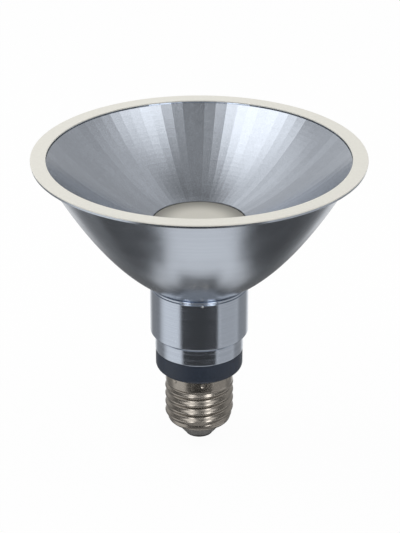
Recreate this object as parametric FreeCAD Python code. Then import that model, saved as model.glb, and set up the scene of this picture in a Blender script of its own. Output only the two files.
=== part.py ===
import FreeCAD, Part
import math
import os

# Spotlight lamp with a screw cap and an open faceted reflector, in millimetres.
# The axis is Z. The origin is the flat tip of the centre contact, and +Z points to the light opening.

Vector = FreeCAD.Vector
ORIGIN = Vector(0, 0, 0)
UP = Vector(0, 0, 1)

# Clearances and sheet sizes used in more than one place
slip = 0.05
loose = 0.3
cut_past = 1.0

# Centre contact and insulator
contact_r = 5.2
contact_flat_r = 1.6
contact_dome = 0.9
contact_plate = 1.3
contact_stem_r = 1.2
contact_stem_rise = 0.6
insulator_foot_r = 6.2
insulator_height = 6.8
insulator_shoulder = 1.5

# Screw shell: E27 thread, rolled in thin sheet
thread_pitch = 3.629
thread_crest_r = 13.15
thread_root_r = 12.15
thread_first_crest = 9.0
shell_foot = 7.1
shell_lip_r = 1.6
shell_wall = 0.4
shell_mouth_r = 9.3
skirt_r = 12.9
skirt_height = 5.2
thread_fade = 1.8
cap_length = 30.0
dent_count = 7
dent_first_angle = -84.0
dent_below_top = 2.4
dent_ball_r = 1.5
dent_depth = 0.25

# Plastic driver housing: neck in the cap, ring in view, cup in the collar
housing_ring_inset = 0.13
housing_ring_height = 8.2
housing_corner_r = 2.2
housing_wall = 1.3
housing_floor = 1.3
neck_foot = 10.4
cup_height = 22.6
boss_r = 2.3
boss_tip_r = 0.6
rail_width = 1.0
rail_depth = 1.3
neck_step_above = 1.0
pilot_floor = 1.0

# Turned collar
collar_r = 18.55
collar_height = 27.7
shoulder_width = 1.82
band_r = collar_r - shoulder_width
band_height = 6.6
shoulder_chamfer = 1.3
collar_wall = 1.45
web_thickness = 4.8
groove_below_top = 0.6
groove_width = 0.6
groove_depth = 0.4
edge_break = 0.25

# Outer bowl: a parabola of revolution from the collar's edge to the step under the flange
bowl_step_in = 1.08
bowl_sheet = 0.7
bowl_lift = 1.2
bowl_shoulder = 0.5
bowl_height = 50.65
bowl_foot_inset = 0.65
flange_r = 61.3
flange_sheet = 0.5
flange_step = 0.4
flange_width = 2.7
step_r = flange_r - flange_width

# Reflector: a flatter parabola cut into facets
reflector_rim_gap = 0.6
reflector_lip = 2.3
reflector_flange_r = step_r - reflector_rim_gap
reflector_mouth_r = reflector_flange_r - reflector_lip
reflector_sheet = 0.6
reflector_drop = 0.85
throat_r = 17.58
throat_length = 1.4
reflector_depth = 25.55
throat_ledge = 0.3
facet_column_count = 80
facet_row_count = 10

# Cream ring on the rim
bezel_overhang = 0.2
bezel_mouth_gap = 0.14
bezel_r = flange_r + bezel_overhang
bezel_mouth_r = reflector_mouth_r + bezel_mouth_gap
bezel_thickness = 0.45
bezel_edge = 0.12

# Light source stack on the collar
slug_height = 7.3
pad_thickness = 0.3
board_screw_gap = 0.15
board_thickness = 1.6
chip_side = 13.5
chip_base = 1.0
chip_glow_r = 5.5
chip_glow_height = 0.4
holder_height = 2.4
holder_window_r = 6.4
cup_wall = 1.2
cup_foot_r = 9.8
cup_throat_r = 7.6
cup_rim_r = 20.0
cup_seat_width = 1.8
diffuser_r = 18.4
diffuser_thickness = 1.6

# Screws: a pan head is this many shank radii wide and high
pan_head_width = 1.8
pan_head_rise = 1.2
pan_slot_width = 0.4
slug_screw_count = 3
slug_screw_first_angle = 30.0
slug_screw_r = 1.5
slug_screw_bite = 3.4
board_screw_r = 1.0
board_screw_bite = 5.1
housing_screw_r = 1.25
housing_screw_bite = 4.2
hole_spare_depth = 0.4

# Leads
lead_r = 0.5
lead_bend = 1.4
lead_hole_r = 2.0
lead_spacing = 1.3
lead_rise = 4.0
lead_on_pad = 1.2
neutral_lead_x = -6.0

# Driver board and what stands on it
pcb_thickness = 1.6
pcb_height = 16.5
pcb_edge_gap = 1.1
tongue_gap = 1.1
tongue_length = 17.5
core_width = 13.0
core_depth = 10.0
core_height = 10.0
core_above = 3.0
core_wall = 2.3
core_back = 1.5
winding_inset = 1.2
bulk_can_r = 5.0
bulk_can_height = 13.0
bulk_can_x = -4.5
output_can_r = 3.15
output_can_height = 11.0
output_can_x = 6.5
can_above = 1.0
can_bead = 0.35
can_bead_at = 1.5
can_bead_half = 0.5
can_edge = 0.4
film_width = 9.0
film_depth = 5.0
film_height = 8.0
film_below = 10.0
choke_r = 3.5
choke_height = 8.0
choke_flange = 1.2
choke_waist = 0.8
choke_x = -3.8
choke_below = 11.0
bridge_width = 4.6
bridge_depth = 2.5
bridge_height = 6.0
bridge_x = 4.3
bridge_below = 10.0
chip_width = 3.6
chip_depth = 1.6
chip_height = 5.0
chip_x = 9.4
chip_above = 4.0
chip_legs = 4
chip_leg_pitch = 1.27
chip_leg_length = 0.5
chip_leg_half = 0.2
chip_leg_depth = 0.6
fuse_r = 1.7
fuse_length = 7.0
fuse_below = 14.5

# Heights worked out from the sizes above
insulator_foot = contact_dome + contact_plate
insulator_top = insulator_foot + insulator_height
ring_top = cap_length + housing_ring_height
collar_foot = ring_top
band_top = collar_foot + band_height
collar_top = collar_foot + collar_height
web_foot = collar_top - web_thickness
cup_top = collar_foot + cup_height
bowl_foot = collar_top
bowl_floor = bowl_foot + bowl_sheet
bowl_foot_r = collar_r - bowl_foot_inset
bowl_rise = bowl_height - flange_step - flange_sheet - bowl_shoulder
bowl_rate = ((step_r - bowl_step_in) ** 2 - collar_r ** 2) / bowl_rise
bowl_apex = bowl_foot + bowl_shoulder - collar_r * collar_r / bowl_rate
flange_top = bowl_foot + bowl_height
rim_top = flange_top + bezel_thickness
reflector_top = flange_top
throat_top = reflector_top - reflector_depth
throat_foot = throat_top - throat_length
slug_r = math.sqrt(bowl_rate * (bowl_floor - bowl_lift - bowl_apex)) - loose
slug_top = bowl_floor + slug_height
pad_top = slug_top + pad_thickness
board_top = pad_top + board_thickness
holder_top = board_top + holder_height
diffuser_foot = throat_foot - diffuser_thickness
housing_ring_r = band_r - housing_ring_inset
housing_outer_r = band_r - collar_wall - slip
housing_inner_r = housing_outer_r - housing_wall
neck_r = thread_root_r - shell_wall - loose
neck_wide_r = skirt_r - shell_wall - loose
neck_inner_r = neck_r - housing_wall
ledge = cap_length + housing_corner_r + housing_floor
pcb_foot = ledge
pcb_top = pcb_foot + pcb_height
tongue_foot = pcb_foot - tongue_length
pcb_half_width = housing_inner_r - pcb_edge_gap
tongue_half_width = neck_inner_r - tongue_gap
boss_height = cup_top - pcb_top - boss_r - loose
contact_stem_top = insulator_top + contact_stem_rise
skirt_foot = cap_length - skirt_height
lip_top = shell_foot + shell_lip_r
lip_centre_r = thread_root_r - shell_lip_r
shell_seat = shell_foot + shell_wall
slug_screw_head_r = slug_screw_r * pan_head_width
slug_screw_pitch_r = slug_r - slug_screw_head_r
board_r = slug_screw_pitch_r - slug_screw_head_r - board_screw_gap
slug_screw_length = slug_height + bowl_sheet + slug_screw_bite
board_screw_head_r = board_screw_r * pan_head_width
board_screw_pitch_r = chip_side / 2 + board_screw_head_r + loose
board_screw_seat = holder_top - board_screw_r * pan_head_rise
board_screw_length = board_screw_seat - slug_top + board_screw_bite
housing_screw_pitch_r = housing_inner_r - boss_r
housing_screw_length = web_thickness + housing_screw_bite
lead_hole_at = housing_inner_r - lead_r - 2 * loose


def turned(start, *moves):
    # Solid of revolution about Z. A move is an end point (r, z), a pair (via, end) for an arc,
    # or a list of points for a smooth curve.
    edges = []
    here = Vector(start[0], 0, start[1])
    first = here
    for move in moves:
        if isinstance(move, list):
            points = [here] + [Vector(r, 0, z) for r, z in move]
            curve = Part.BSplineCurve()
            curve.interpolate(points)
            edges.append(curve.toShape())
            here = points[-1]
        elif isinstance(move[0], tuple):
            via = Vector(move[0][0], 0, move[0][1])
            end = Vector(move[1][0], 0, move[1][1])
            edges.append(Part.Arc(here, via, end).toShape())
            here = end
        else:
            end = Vector(move[0], 0, move[1])
            edges.append(Part.LineSegment(here, end).toShape())
            here = end
    if here.distanceToPoint(first) > 1e-7:
        edges.append(Part.LineSegment(here, first).toShape())
    face = Part.Face(Part.Wire(edges))
    return face.revolve(ORIGIN, UP, 360)


def arc_move(centre, radius, start_deg, end_deg):
    # Move along a circle in the (r, z) plane, as the pair that turned() takes
    middle = math.radians((start_deg + end_deg) / 2)
    end = math.radians(end_deg)
    via_point = (centre[0] + radius * math.cos(middle), centre[1] + radius * math.sin(middle))
    end_point = (centre[0] + radius * math.cos(end), centre[1] + radius * math.sin(end))
    return (via_point, end_point)


def cylinder(radius, height, x=0.0, y=0.0, z=0.0):
    return Part.makeCylinder(radius, height, Vector(x, y, z), UP)


def block(low, high):
    size = [high[i] - low[i] for i in range(3)]
    return Part.makeBox(size[0], size[1], size[2], Vector(*low))


def on_circle(radius, angle_deg):
    angle = math.radians(angle_deg)
    return radius * math.cos(angle), radius * math.sin(angle)


def slug_screw_places():
    step = 360.0 / slug_screw_count
    return [on_circle(slug_screw_pitch_r, slug_screw_first_angle + step * i) for i in range(slug_screw_count)]


def wire_lead(points, radius, bend):
    # Round wire along straight runs joined by tangent arcs
    path = []
    here = Vector(*points[0])
    for index in range(1, len(points) - 1):
        corner = Vector(*points[index])
        back = (here - corner).normalize()
        ahead = (Vector(*points[index + 1]) - corner).normalize()
        half_turn = (math.pi - back.getAngle(ahead)) / 2
        reach = bend * math.tan(half_turn)
        arc_start = corner + back * reach
        arc_end = corner + ahead * reach
        toward_centre = (back + ahead).normalize()
        arc_middle = corner + toward_centre * (bend / math.cos(half_turn) - bend)
        path.append(Part.LineSegment(here, arc_start).toShape())
        path.append(Part.Arc(arc_start, arc_middle, arc_end).toShape())
        here = arc_end
    path.append(Part.LineSegment(here, Vector(*points[-1])).toShape())
    spine = Part.Wire(path)
    start = Vector(*points[0])
    direction = Vector(*points[1]) - start
    section = Part.Wire([Part.makeCircle(radius, start, direction)])
    return spine.makePipeShell([section], True, True)


def export(shape, node):
    shape.exportStep("parts/" + node + ".step")


# Screw cap

def make_centre_contact():
    plate_top = contact_dome + contact_plate
    dome_via = (contact_flat_r + (contact_r - contact_flat_r) * 0.6, contact_dome * 0.3)
    body = turned(
        (0, 0),
        (contact_flat_r, 0),
        (dome_via, (contact_r, contact_dome)),
        (contact_r, plate_top),
        (contact_stem_r, plate_top),
        (contact_stem_r, contact_stem_top),
        (0, contact_stem_top),
    )
    return body


def make_cap_insulator():
    hole = contact_stem_r + slip
    top_r = thread_root_r - shell_wall - loose / 2
    body = turned(
        (hole, insulator_foot),
        (insulator_foot_r, insulator_foot),
        (shell_mouth_r - slip, shell_seat - insulator_shoulder),
        (shell_mouth_r - slip, shell_seat),
        (lip_centre_r, shell_seat),
        (top_r, lip_top),
        (top_r, insulator_top),
        (hole, insulator_top),
    )
    return body


def shell_radius(angle, z):
    # Rolled thread: a wave that climbs one pitch a turn and fades into the skirt and the lip
    mean = (thread_crest_r + thread_root_r) / 2
    amplitude = (thread_crest_r - thread_root_r) / 2
    phase = 2 * math.pi * (z - thread_first_crest) / thread_pitch - angle
    to_skirt = smooth_step((z - skirt_foot + thread_fade) / thread_fade)
    from_lip = smooth_step((z - lip_top) / thread_fade)
    wave = mean + amplitude * math.cos(phase)
    wave = thread_root_r + (wave - thread_root_r) * from_lip
    return wave * (1 - to_skirt) + skirt_r * to_skirt


def smooth_step(share):
    share = min(max(share, 0.0), 1.0)
    return share * share * (3 - 2 * share)


def make_cap_shell():
    turn_count = 48
    lip_step_count = 6
    pitch_step_count = 9
    up_steps = int(round((cap_length - lip_top) / (thread_pitch / pitch_step_count)))
    rows = []
    for turn in range(turn_count + 1):
        angle = math.pi / 2 + 2 * math.pi * turn / turn_count
        row = []
        for step in range(lip_step_count):
            tilt = -math.pi / 2 + math.pi / 2 * step / lip_step_count
            r = lip_centre_r + shell_lip_r * math.cos(tilt)
            z = lip_top + shell_lip_r * math.sin(tilt)
            row.append(Vector(r * math.cos(angle), r * math.sin(angle), z))
        for step in range(up_steps + 1):
            z = lip_top + (cap_length - lip_top) * step / up_steps
            r = shell_radius(angle, z)
            row.append(Vector(r * math.cos(angle), r * math.sin(angle), z))
        rows.append(row)
    surface = Part.BSplineSurface()
    surface.interpolate(rows)
    side = surface.toShape()
    foot = Part.Face(Part.Wire([surface.vIso(surface.bounds()[2]).toShape()]))
    top = Part.Face(Part.Wire([surface.vIso(surface.bounds()[3]).toShape()]))
    skin = Part.Shell([side, foot, top])
    skin.sewShape()
    solid = Part.Solid(skin)
    if solid.Volume < 0:
        solid.reverse()
    inner_r = thread_root_r - shell_wall
    skirt_inner_r = skirt_r - shell_wall
    lip_inner_r = shell_lip_r - shell_wall
    hollow = turned(
        (0, shell_foot - cut_past),
        (shell_mouth_r, shell_foot - cut_past),
        (shell_mouth_r, shell_seat),
        (lip_centre_r, shell_seat),
        arc_move((lip_centre_r, lip_top), lip_inner_r, -90, 0),
        (inner_r, skirt_foot),
        (skirt_inner_r, skirt_foot + skirt_inner_r - inner_r),
        (skirt_inner_r, cap_length + cut_past),
        (0, cap_length + cut_past),
    )
    shell = solid.cut(hollow)
    for index in range(dent_count):
        reach = skirt_r - dent_depth + dent_ball_r
        x, y = on_circle(reach, dent_first_angle + 360.0 * index / dent_count)
        ball = Part.makeSphere(dent_ball_r, Vector(x, y, cap_length - dent_below_top))
        shell = shell.cut(ball)
    return shell


# Driver housing and collar

def make_driver_housing():
    corner = (housing_ring_r - housing_corner_r, cap_length + housing_corner_r)
    body = turned(
        (neck_inner_r, neck_foot),
        (neck_r, neck_foot),
        (neck_r, skirt_foot + neck_step_above),
        (neck_wide_r, skirt_foot + neck_step_above + neck_wide_r - neck_r),
        (neck_wide_r, cap_length),
        (corner[0], cap_length),
        arc_move(corner, housing_corner_r, -90, 0),
        (housing_ring_r, ring_top - edge_break),
        (housing_ring_r - edge_break, ring_top),
        (housing_outer_r, ring_top),
        (housing_outer_r, cup_top),
        (housing_inner_r, cup_top),
        (housing_inner_r, ledge),
        (neck_inner_r, ledge),
    )
    for side in (-1, 1):
        x = side * housing_screw_pitch_r
        boss = cylinder(boss_r, boss_height, x, 0, cup_top - boss_height)
        foot = Part.makeCone(boss_tip_r, boss_r, boss_r, Vector(x, 0, cup_top - boss_height - boss_r), UP)
        boss = boss.fuse(foot).common(cylinder(housing_outer_r, cup_top - ledge, 0, 0, ledge))
        pilot_foot = cup_top - boss_height + pilot_floor
        pilot = cylinder(housing_screw_r + slip, cup_top - pilot_foot, x, 0, pilot_foot)
        body = body.fuse(boss).cut(pilot)
        for face in (-1, 1):
            near = face * (pcb_thickness / 2 + slip)
            far = near + face * rail_width
            rail_inner = side * (pcb_half_width - rail_depth)
            rail_outer = side * (housing_inner_r + housing_wall / 2)
            low = (min(rail_inner, rail_outer), min(near, far), ledge)
            high = (max(rail_inner, rail_outer), max(near, far), ledge + pcb_height)
            body = body.fuse(block(low, high))
    return body.removeSplitter()


def make_collar():
    bore = housing_outer_r + slip
    groove_top = collar_top - groove_below_top
    groove_foot = groove_top - groove_width
    body = turned(
        (bore, collar_foot),
        (band_r - edge_break, collar_foot),
        (band_r, collar_foot + edge_break),
        (band_r, band_top),
        (collar_r - shoulder_chamfer, band_top),
        (collar_r, band_top + shoulder_chamfer),
        (collar_r, groove_foot),
        (collar_r - groove_depth, groove_foot + groove_width / 3),
        (collar_r - groove_depth, groove_top),
        (collar_r, groove_top),
        (collar_r, collar_top - edge_break),
        (collar_r - edge_break, collar_top),
        (0, collar_top),
        (0, web_foot),
        (bore, web_foot),
    )
    for x, y in slug_screw_places():
        depth = slug_screw_bite + hole_spare_depth
        body = body.cut(cylinder(slug_screw_r + slip, depth, x, y, collar_top - depth))
    for side in (-1, 1):
        x = side * housing_screw_pitch_r
        body = body.cut(cylinder(housing_screw_r + slip, web_thickness, x, 0, web_foot))
        body = body.cut(countersink(housing_screw_r + slip, x, collar_top))
    return body.cut(cylinder(lead_hole_r, web_thickness, 0, lead_hole_at, web_foot))


def countersink(shank_r, x, top):
    head_r = shank_r * 2
    return Part.makeCone(shank_r, head_r, head_r - shank_r, Vector(x, 0, top - (head_r - shank_r)), UP)


# Outer bowl

def bowl_radius(z):
    # The bowl's parabola: r * r = bowl_rate * (z - bowl_apex)
    return math.sqrt(bowl_rate * (z - bowl_apex))


def bowl_curve(r_from, r_to, lift, count):
    # Points of the parabola between two radii, raised by lift for the inside of the sheet
    points = []
    for step in range(1, count + 1):
        r = r_from + (r_to - r_from) * step / count
        points.append((r, bowl_apex + lift + r * r / bowl_rate))
    return points


def make_outer_bowl():
    step_top = flange_top - flange_step
    step_foot = step_top - flange_sheet
    count = 12
    outer_low_r = collar_r
    outer_high_r = bowl_radius(step_foot)
    inner_low_r = bowl_radius(bowl_floor - bowl_lift)
    inner_high_r = bowl_radius(step_top - bowl_lift)
    body = turned(
        (bowl_foot_r, bowl_foot),
        (outer_low_r, bowl_foot + bowl_shoulder),
        bowl_curve(outer_low_r, outer_high_r, 0.0, count),
        (step_r, step_foot),
        (step_r, flange_top - flange_sheet),
        (flange_r, flange_top - flange_sheet),
        (flange_r, flange_top),
        (reflector_flange_r + slip, flange_top),
        (reflector_flange_r + slip, step_top),
        (inner_high_r, step_top),
        bowl_curve(inner_high_r, inner_low_r, bowl_lift, count),
        (0, bowl_floor),
        (0, bowl_foot),
    )
    for x, y in slug_screw_places():
        body = body.cut(cylinder(slug_screw_r + loose / 2, 3 * bowl_sheet, x, y, bowl_foot - bowl_sheet))
    return body.cut(cylinder(lead_hole_r, 3 * bowl_sheet, 0, lead_hole_at, bowl_foot - bowl_sheet))


# Reflector

def reflector_rate():
    ledge_r = throat_r + throat_ledge
    return (reflector_mouth_r ** 2 - ledge_r ** 2) / reflector_depth


def reflector_radius(z):
    ledge_r = throat_r + throat_ledge
    return math.sqrt(ledge_r ** 2 + reflector_rate() * (z - throat_top))


def reflector_height(r):
    ledge_r = throat_r + throat_ledge
    return throat_top + (r * r - ledge_r ** 2) / reflector_rate()


def facet_heights():
    # Heights of the facet rows, spaced evenly along the wall
    samples = 200
    lengths = [0.0]
    for index in range(samples):
        z_low = throat_top + reflector_depth * index / samples
        z_high = throat_top + reflector_depth * (index + 1) / samples
        rise = reflector_radius(z_high) - reflector_radius(z_low)
        lengths.append(lengths[-1] + math.hypot(rise, z_high - z_low))
    heights = [throat_top]
    for row in range(1, facet_row_count):
        target = lengths[-1] * row / facet_row_count
        index = max(i for i in range(samples) if lengths[i] <= target)
        share = (target - lengths[index]) / (lengths[index + 1] - lengths[index])
        heights.append(throat_top + reflector_depth * (index + share) / samples)
    heights.append(reflector_top)
    return heights


def make_facet_plug():
    # The faceted hollow of the reflector as a solid, with a straight head above the mouth
    heights = facet_heights()
    rings = []
    for z in heights:
        rings.append([facet_corner(reflector_radius(z), z, column) for column in range(facet_column_count)])
    head_z = reflector_top + cut_past
    rings.append([facet_corner(reflector_mouth_r, head_z, column) for column in range(facet_column_count)])
    faces = []
    for low, high in zip(rings, rings[1:]):
        for column in range(facet_column_count):
            after = (column + 1) % facet_column_count
            corners = [low[column], low[after], high[after], high[column], low[column]]
            faces.append(Part.Face(Part.makePolygon(corners)))
    faces.append(Part.Face(Part.makePolygon(rings[0] + rings[0][:1])))
    faces.append(Part.Face(Part.makePolygon(rings[-1] + rings[-1][:1])))
    skin = Part.Shell(faces)
    skin.sewShape()
    solid = Part.Solid(skin)
    if solid.Volume < 0:
        solid.reverse()
    return solid


def facet_corner(radius, z, column):
    # Half a step off the X axis, so that a column faces each quarter
    angle = 2 * math.pi * (column + 0.5) / facet_column_count
    return Vector(radius * math.cos(angle), radius * math.sin(angle), z)


def make_reflector():
    flange_foot = reflector_top - flange_step
    back_r = throat_r + reflector_sheet
    back_high_r = reflector_radius(flange_foot + reflector_drop)
    count = 12
    back = []
    for step in range(1, count + 1):
        r = back_high_r + (back_r - back_high_r) * step / count
        back.append((r, reflector_height(r) - reflector_drop))
    body = turned(
        (throat_r, throat_foot),
        (throat_r, reflector_top),
        (reflector_flange_r, reflector_top),
        (reflector_flange_r, flange_foot),
        (back_high_r, flange_foot),
        back,
        (back_r, throat_foot),
    )
    return body.cut(make_facet_plug())


def make_bezel_ring():
    foot = rim_top - bezel_thickness
    return turned(
        (bezel_mouth_r, foot),
        (bezel_r, foot),
        (bezel_r, rim_top - bezel_edge),
        (bezel_r - bezel_edge, rim_top),
        (bezel_mouth_r + bezel_edge, rim_top),
        (bezel_mouth_r, rim_top - bezel_edge),
    )


# Light source

def make_diffuser():
    return cylinder(diffuser_r, diffuser_thickness, 0, 0, diffuser_foot)


def make_mixing_cup():
    seat_r = diffuser_r - cup_seat_width
    rim_z = throat_foot - loose
    foot_z = holder_top
    return turned(
        (cup_throat_r, foot_z),
        (cup_foot_r, foot_z),
        (cup_foot_r, foot_z + cup_wall),
        (cup_throat_r + cup_wall, foot_z + cup_wall),
        (seat_r + cup_wall, diffuser_foot - cup_wall),
        (cup_rim_r, diffuser_foot - cup_wall),
        (cup_rim_r, rim_z),
        (diffuser_r + slip, rim_z),
        (diffuser_r + slip, diffuser_foot),
        (seat_r, diffuser_foot),
        (cup_throat_r, foot_z + cup_wall / 2),
    )


def with_board_screw_holes(body, foot, depth):
    for side in (-1, 1):
        body = body.cut(cylinder(board_screw_r + slip, depth, side * board_screw_pitch_r, 0, foot))
    return body


def make_led_holder():
    half = chip_side / 2 + slip
    body = cylinder(board_r, holder_height, 0, 0, board_top)
    body = body.cut(block((-half, -half, board_top), (half, half, board_top + chip_base + slip)))
    body = body.cut(cylinder(holder_window_r, holder_height, 0, 0, board_top))
    notch_half = lead_spacing + 2 * lead_r
    notch_y = board_r - lead_on_pad - 2 * lead_r
    body = body.cut(block((-notch_half, notch_y, board_top), (notch_half, board_r + cut_past, holder_top)))
    for side in (-1, 1):
        x = side * board_screw_pitch_r
        body = body.cut(cylinder(board_screw_head_r + slip, holder_height, x, 0, board_screw_seat))
    return with_board_screw_holes(body, board_top, holder_height)


def make_led_chip():
    half = chip_side / 2
    base = block((-half, -half, board_top), (half, half, board_top + chip_base))
    return base.fuse(cylinder(chip_glow_r, chip_glow_height, 0, 0, board_top + chip_base))


def make_led_board():
    return with_board_screw_holes(cylinder(board_r, board_thickness, 0, 0, pad_top), pad_top, board_thickness)


def make_thermal_pad():
    return with_board_screw_holes(cylinder(board_r, pad_thickness, 0, 0, slug_top), slug_top, pad_thickness)


def make_heat_slug():
    body = cylinder(slug_r, slug_height, 0, 0, bowl_floor)
    for x, y in slug_screw_places():
        body = body.cut(cylinder(slug_screw_r + loose / 2, slug_height, x, y, bowl_floor))
    body = body.cut(cylinder(lead_hole_r, slug_height, 0, lead_hole_at, bowl_floor))
    depth = board_screw_bite + hole_spare_depth
    return with_board_screw_holes(body, slug_top - depth, depth)


# Screws

def pan_screw(shank_r, length, x, y, seat):
    head_r = shank_r * pan_head_width
    head_height = shank_r * pan_head_rise
    head = cylinder(head_r, head_height, x, y, seat)
    slot_half = shank_r * pan_slot_width / 2
    slot_foot = seat + head_height / 2
    slot = block((x - head_r, y - slot_half, slot_foot), (x + head_r, y + slot_half, seat + head_height))
    return head.cut(slot).fuse(cylinder(shank_r, length, x, y, seat - length))


def make_slug_screws():
    screws = [pan_screw(slug_screw_r, slug_screw_length, x, y, slug_top) for x, y in slug_screw_places()]
    return Part.makeCompound(screws)


def make_board_screws():
    screws = []
    for side in (-1, 1):
        x = side * board_screw_pitch_r
        screws.append(pan_screw(board_screw_r, board_screw_length, x, 0, board_screw_seat))
    return Part.makeCompound(screws)


def make_housing_screws():
    screws = []
    head_top = collar_top - slip
    for side in (-1, 1):
        x = side * housing_screw_pitch_r
        shank = cylinder(housing_screw_r, housing_screw_length, x, 0, head_top - housing_screw_length)
        screws.append(countersink(housing_screw_r, x, head_top).fuse(shank))
    return Part.makeCompound(screws)


# Driver

def make_driver_board():
    half = pcb_thickness / 2
    wide = block((-pcb_half_width, -half, pcb_foot), (pcb_half_width, half, pcb_top))
    tongue = block((-tongue_half_width, -half, tongue_foot), (tongue_half_width, half, pcb_foot))
    return wide.fuse(tongue).removeSplitter()


def make_transformer():
    # Core with an open window, and the winding in it
    front = -pcb_thickness / 2
    foot = pcb_foot + core_above
    half = core_width / 2
    inner = half - core_wall
    low = foot + core_wall
    high = foot + core_height - core_wall
    core = block((-half, front - core_depth, foot), (half, front, foot + core_height))
    window = block((-inner, front - core_depth, low), (inner, front - core_back, high))
    winding = block((-inner, front - core_depth + winding_inset, low), (inner, front - core_back, high))
    return core.cut(window).fuse(winding)


def make_electrolytic(radius, height, x):
    # Can with a rolled bead near its foot, lying against the back of the board
    foot = pcb_foot + can_above
    bead = foot + can_bead_at
    can = turned(
        (0, foot),
        (radius, foot),
        (radius, bead - can_bead_half),
        (radius - can_bead, bead),
        (radius, bead + can_bead_half),
        (radius, foot + height - can_edge),
        (radius - can_edge, foot + height),
        (0, foot + height),
    )
    can.translate(Vector(x, pcb_thickness / 2 + radius, 0))
    return can


def make_film_capacitor():
    front = -pcb_thickness / 2
    foot = pcb_foot - film_below
    return block((-film_width / 2, front - film_depth, foot), (film_width / 2, front, foot + film_height))


def make_choke():
    foot = pcb_foot - choke_below
    waist_foot = foot + choke_flange
    waist_top = foot + choke_height - choke_flange
    drum = turned(
        (0, foot),
        (choke_r, foot),
        (choke_r, waist_foot),
        (choke_r - choke_waist, waist_foot),
        (choke_r - choke_waist, waist_top),
        (choke_r, waist_top),
        (choke_r, foot + choke_height),
        (0, foot + choke_height),
    )
    drum.translate(Vector(choke_x, pcb_thickness / 2 + choke_r, 0))
    return drum


def make_bridge_rectifier():
    back = pcb_thickness / 2
    foot = pcb_foot - bridge_below
    left = bridge_x - bridge_width / 2
    return block((left, back, foot), (left + bridge_width, back + bridge_depth, foot + bridge_height))


def make_driver_chip():
    front = -pcb_thickness / 2
    foot = pcb_foot + chip_above
    left = chip_x - chip_width / 2
    body = block((left, front - chip_depth, foot), (left + chip_width, front, foot + chip_height))
    first_leg = foot + (chip_height - chip_leg_pitch * (chip_legs - 1)) / 2
    for index in range(chip_legs):
        z = first_leg + index * chip_leg_pitch
        low = (left - chip_leg_length, front - chip_leg_depth, z - chip_leg_half)
        body = body.fuse(block(low, (left, front, z + chip_leg_half)))
    return body


def make_fuse_resistor():
    y = -pcb_thickness / 2 - fuse_r
    start = Vector(-fuse_length / 2, y, pcb_foot - fuse_below)
    return Part.makeCylinder(fuse_r, fuse_length, start, Vector(1, 0, 0))


# Leads

def make_live_lead():
    return cylinder(lead_r, tongue_foot - contact_stem_top, 0, 0, contact_stem_top)


def make_neutral_lead():
    level = (insulator_top + neck_foot) / 2
    wall = -(thread_root_r - shell_wall - slip)
    route = [(neutral_lead_x, 0, tongue_foot), (neutral_lead_x, 0, level), (wall, 0, level)]
    return wire_lead(route, lead_r, lead_bend)


def make_led_lead(side):
    x = side * lead_spacing
    over = board_top + lead_r
    route = [
        (x, 0, pcb_top),
        (x, 0, pcb_top + lead_rise),
        (x, lead_hole_at, web_foot - lead_rise),
        (x, lead_hole_at, over),
        (x, board_r - lead_on_pad, over),
    ]
    return wire_lead(route, lead_r, lead_bend)


os.makedirs("parts", exist_ok=True)
export(make_centre_contact(), "centre_contact")
export(make_cap_insulator(), "cap_insulator")
export(make_cap_shell(), "cap_shell")
export(make_driver_housing(), "driver_housing")
export(make_collar(), "collar")
export(make_outer_bowl(), "outer_bowl")
export(make_reflector(), "reflector")
export(make_bezel_ring(), "bezel_ring")
export(make_diffuser(), "diffuser")
export(make_mixing_cup(), "mixing_cup")
export(make_led_holder(), "led_holder")
export(make_led_chip(), "led_chip")
export(make_led_board(), "led_board")
export(make_thermal_pad(), "thermal_pad")
export(make_heat_slug(), "heat_slug")
export(make_slug_screws(), "slug_screws")
export(make_board_screws(), "board_screws")
export(make_housing_screws(), "housing_screws")
export(make_driver_board(), "driver_board")
export(make_transformer(), "transformer")
export(make_electrolytic(bulk_can_r, bulk_can_height, bulk_can_x), "bulk_capacitor")
export(make_electrolytic(output_can_r, output_can_height, output_can_x), "output_capacitor")
export(make_film_capacitor(), "film_capacitor")
export(make_choke(), "choke")
export(make_bridge_rectifier(), "bridge_rectifier")
export(make_driver_chip(), "driver_chip")
export(make_fuse_resistor(), "fuse_resistor")
export(make_live_lead(), "live_lead")
export(make_neutral_lead(), "neutral_lead")
export(make_led_lead(-1), "led_lead_negative")
export(make_led_lead(1), "led_lead_positive")
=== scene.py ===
import bpy
import bmesh
import math
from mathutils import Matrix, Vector


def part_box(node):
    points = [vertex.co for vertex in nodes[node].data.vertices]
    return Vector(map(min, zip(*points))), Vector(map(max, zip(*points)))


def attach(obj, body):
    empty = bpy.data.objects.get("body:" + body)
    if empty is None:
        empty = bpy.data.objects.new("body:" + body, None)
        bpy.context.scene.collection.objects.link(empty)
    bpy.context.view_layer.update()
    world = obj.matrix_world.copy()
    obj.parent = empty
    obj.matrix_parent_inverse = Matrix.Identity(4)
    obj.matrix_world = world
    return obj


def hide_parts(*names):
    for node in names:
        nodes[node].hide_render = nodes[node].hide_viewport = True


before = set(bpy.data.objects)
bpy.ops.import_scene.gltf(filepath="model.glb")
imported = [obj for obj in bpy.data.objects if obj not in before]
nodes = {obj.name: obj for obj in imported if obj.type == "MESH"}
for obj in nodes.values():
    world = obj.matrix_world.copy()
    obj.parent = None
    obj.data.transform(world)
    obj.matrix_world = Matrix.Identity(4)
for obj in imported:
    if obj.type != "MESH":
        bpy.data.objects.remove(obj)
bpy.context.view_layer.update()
mm = 0.001
print("frame loaded:", len(nodes), "nodes")

# Camera, at the photograph's viewing angle: the lamp stands on its tip and is seen from above

camera = {
    "distance": 0.700,
    "aimHeight": 0.07193,
    "downAngle": 25.89,      # degrees below the horizon
    "lens": 126.22,          # for the frame's long side
    "shiftX": 0.0015,
}


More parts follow.
